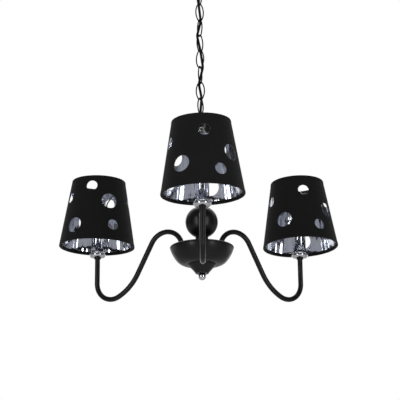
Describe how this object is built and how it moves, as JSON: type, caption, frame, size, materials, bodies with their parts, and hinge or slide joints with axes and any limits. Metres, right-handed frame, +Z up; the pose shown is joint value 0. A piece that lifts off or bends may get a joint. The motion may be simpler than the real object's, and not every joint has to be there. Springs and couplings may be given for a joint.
{
  "type": "chandelier",
  "caption": "Black chandelier on a chain: curved arms rise from a dish under two balls, each to a chrome candle with a small black shade that has round holes and a silver lining.",
  "frame": {"origin": "middle of the ceiling bracket's upper face, in the plane of the ceiling", "axes": "+Z up to the ceiling, along the bracket's screw slots; the front arm points along -Y and the slots lie along X"},
  "size_m": [0.5569, 0.5165, 0.689],
  "materials": {
    "black_enamel": "satin black enamel on steel",
    "chrome": "polished chrome",
    "zinc_steel": "bright zinc on steel",
    "shade_fabric": "fine black weave over a stiff silver foil lining",
    "cable_black": "smooth black PVC sheath",
    "white_plastic": "moulded white, matt",
    "bulb_glass": "clear"
  },
  "bodies": {
    "ceiling_fitting": {"ceiling_bracket": "zinc_steel", "canopy": "black_enamel", "canopy_nipple": "zinc_steel", "canopy_nuts": "zinc_steel", "canopy_loop": "black_enamel", "terminal_block": "white_plastic", "cable_1": "cable_black"},
    "link_1": {"chain_link_1": "black_enamel", "cable_2": "cable_black"},
    "link_2": {"chain_link_2": "black_enamel", "cable_3": "cable_black"},
    "link_3": {"chain_link_3": "black_enamel", "cable_4": "cable_black"},
    "link_4": {"chain_link_4": "black_enamel", "cable_5": "cable_black"},
    "link_5": {"chain_link_5": "black_enamel", "cable_6": "cable_black"},
    "link_6": {"chain_link_6": "black_enamel", "cable_7": "cable_black"},
    "link_7": {"chain_link_7": "black_enamel"},
    "clip_front": {"bulb_clip_front": "zinc_steel"},
    "shade_body_front": {"shade_front": "shade_fabric", "shade_frame_front": "zinc_steel"},
    "clip_left": {"bulb_clip_left": "zinc_steel"},
    "shade_body_left": {"shade_left": "shade_fabric", "shade_frame_left": "zinc_steel"},
    "clip_right": {"bulb_clip_right": "zinc_steel"},
    "shade_body_right": {"shade_right": "shade_fabric", "shade_frame_right": "zinc_steel"},
    "lamp_body": {"cable_8": "cable_black", "top_loop": "black_enamel", "loop_collar": "black_enamel", "upper_ball": "black_enamel", "column_tube": "black_enamel", "lower_ball": "black_enamel", "ball_collar": "black_enamel", "centre_rod": "zinc_steel", "dish": "black_enamel", "dish_lid": "black_enamel", "plate_nuts": "zinc_steel", "dish_strap": "zinc_steel", "lower_cap": "black_enamel", "finial": "chrome", "wire_connectors": "white_plastic", "lamp_leads": "cable_black", "cup_nuts": "black_enamel", "lampholders": "white_plastic", "arm_front": "black_enamel", "drip_cup_front": "chrome", "candle_sleeve_front": "chrome", "bulb_front": "bulb_glass", "arm_left": "black_enamel", "drip_cup_left": "chrome", "candle_sleeve_left": "chrome", "bulb_left": "bulb_glass", "arm_right": "black_enamel", "drip_cup_right": "chrome", "candle_sleeve_right": "chrome", "bulb_right": "bulb_glass"}
  },
  "joints": [
    {"name": "chain_swing_1", "type": "hinge", "parent": "ceiling_fitting", "child": "link_1", "pos_m": [0, 0, -0.0714], "axis": [0.8387, 0.5446, 0], "range_deg": [-15, 15], "deforming": ["cable_1"]},
    {"name": "chain_swing_2", "type": "hinge", "parent": "link_1", "child": "link_2", "pos_m": [0, 0, -0.1043], "axis": [0.5446, -0.8387, 0], "range_deg": [-15, 15], "deforming": ["cable_2"]},
    {"name": "chain_swing_3", "type": "hinge", "parent": "link_2", "child": "link_3", "pos_m": [0, 0, -0.1379], "axis": [0.9135, 0.4067, 0], "range_deg": [-15, 15], "deforming": ["cable_3"]},
    {"name": "chain_swing_4", "type": "hinge", "parent": "link_3", "child": "link_4", "pos_m": [0, 0, -0.1715], "axis": [0.5446, -0.8387, 0], "range_deg": [-15, 15], "deforming": ["cable_4"]},
    {"name": "chain_swing_5", "type": "hinge", "parent": "link_4", "child": "link_5", "pos_m": [0, 0, -0.2051], "axis": [0.7071, 0.7071, 0], "range_deg": [-15, 15], "deforming": ["cable_5"]},
    {"name": "chain_swing_6", "type": "hinge", "parent": "link_5", "child": "link_6", "pos_m": [0, 0, -0.2387], "axis": [0.8829, -0.4695, 0], "range_deg": [-15, 15], "deforming": ["cable_6"]},
    {"name": "chain_swing_7", "type": "hinge", "parent": "link_6", "child": "link_7", "pos_m": [0, 0, -0.2723], "axis": [0.4226, 0.9063, 0], "range_deg": [-15, 15], "deforming": ["cable_7"]},
    {"name": "chain_swing_8", "type": "hinge", "parent": "link_7", "child": "lamp_body", "pos_m": [0, 0, -0.3059], "axis": [0.9781, -0.2079, 0], "range_deg": [-15, 15], "deforming": ["cable_8"]},
    {"name": "clip_turn_front", "type": "hinge", "parent": "lamp_body", "child": "clip_front", "pos_m": [0, -0.23749, -0.4994], "axis": [0, 0, 1], "continuous": true},
    {"name": "shade_tip_front", "type": "hinge", "parent": "clip_front", "child": "shade_body_front", "pos_m": [0, -0.23749, -0.4994], "axis": [0.8854, -0.4648, 0], "range_deg": [-9.8, 6.2]},
    {"name": "clip_turn_left", "type": "hinge", "parent": "lamp_body", "child": "clip_left", "pos_m": [-0.2067, 0.11694, -0.4994], "axis": [0, 0, 1], "continuous": true},
    {"name": "shade_tip_left", "type": "hinge", "parent": "clip_left", "child": "shade_body_left", "pos_m": [-0.2067, 0.11694, -0.4994], "axis": [0.7059, 0.7083, 0], "range_deg": [-9.86, 6.14]},
    {"name": "clip_turn_right", "type": "hinge", "parent": "lamp_body", "child": "clip_right", "pos_m": [0.19665, 0.13315, -0.4994], "axis": [0, 0, 1], "continuous": true},
    {"name": "shade_tip_right", "type": "hinge", "parent": "clip_right", "child": "shade_body_right", "pos_m": [0.19665, 0.13315, -0.4994], "axis": [-0.7266, -0.6871, 0], "range_deg": [-10.09, 5.91]}
  ]
}
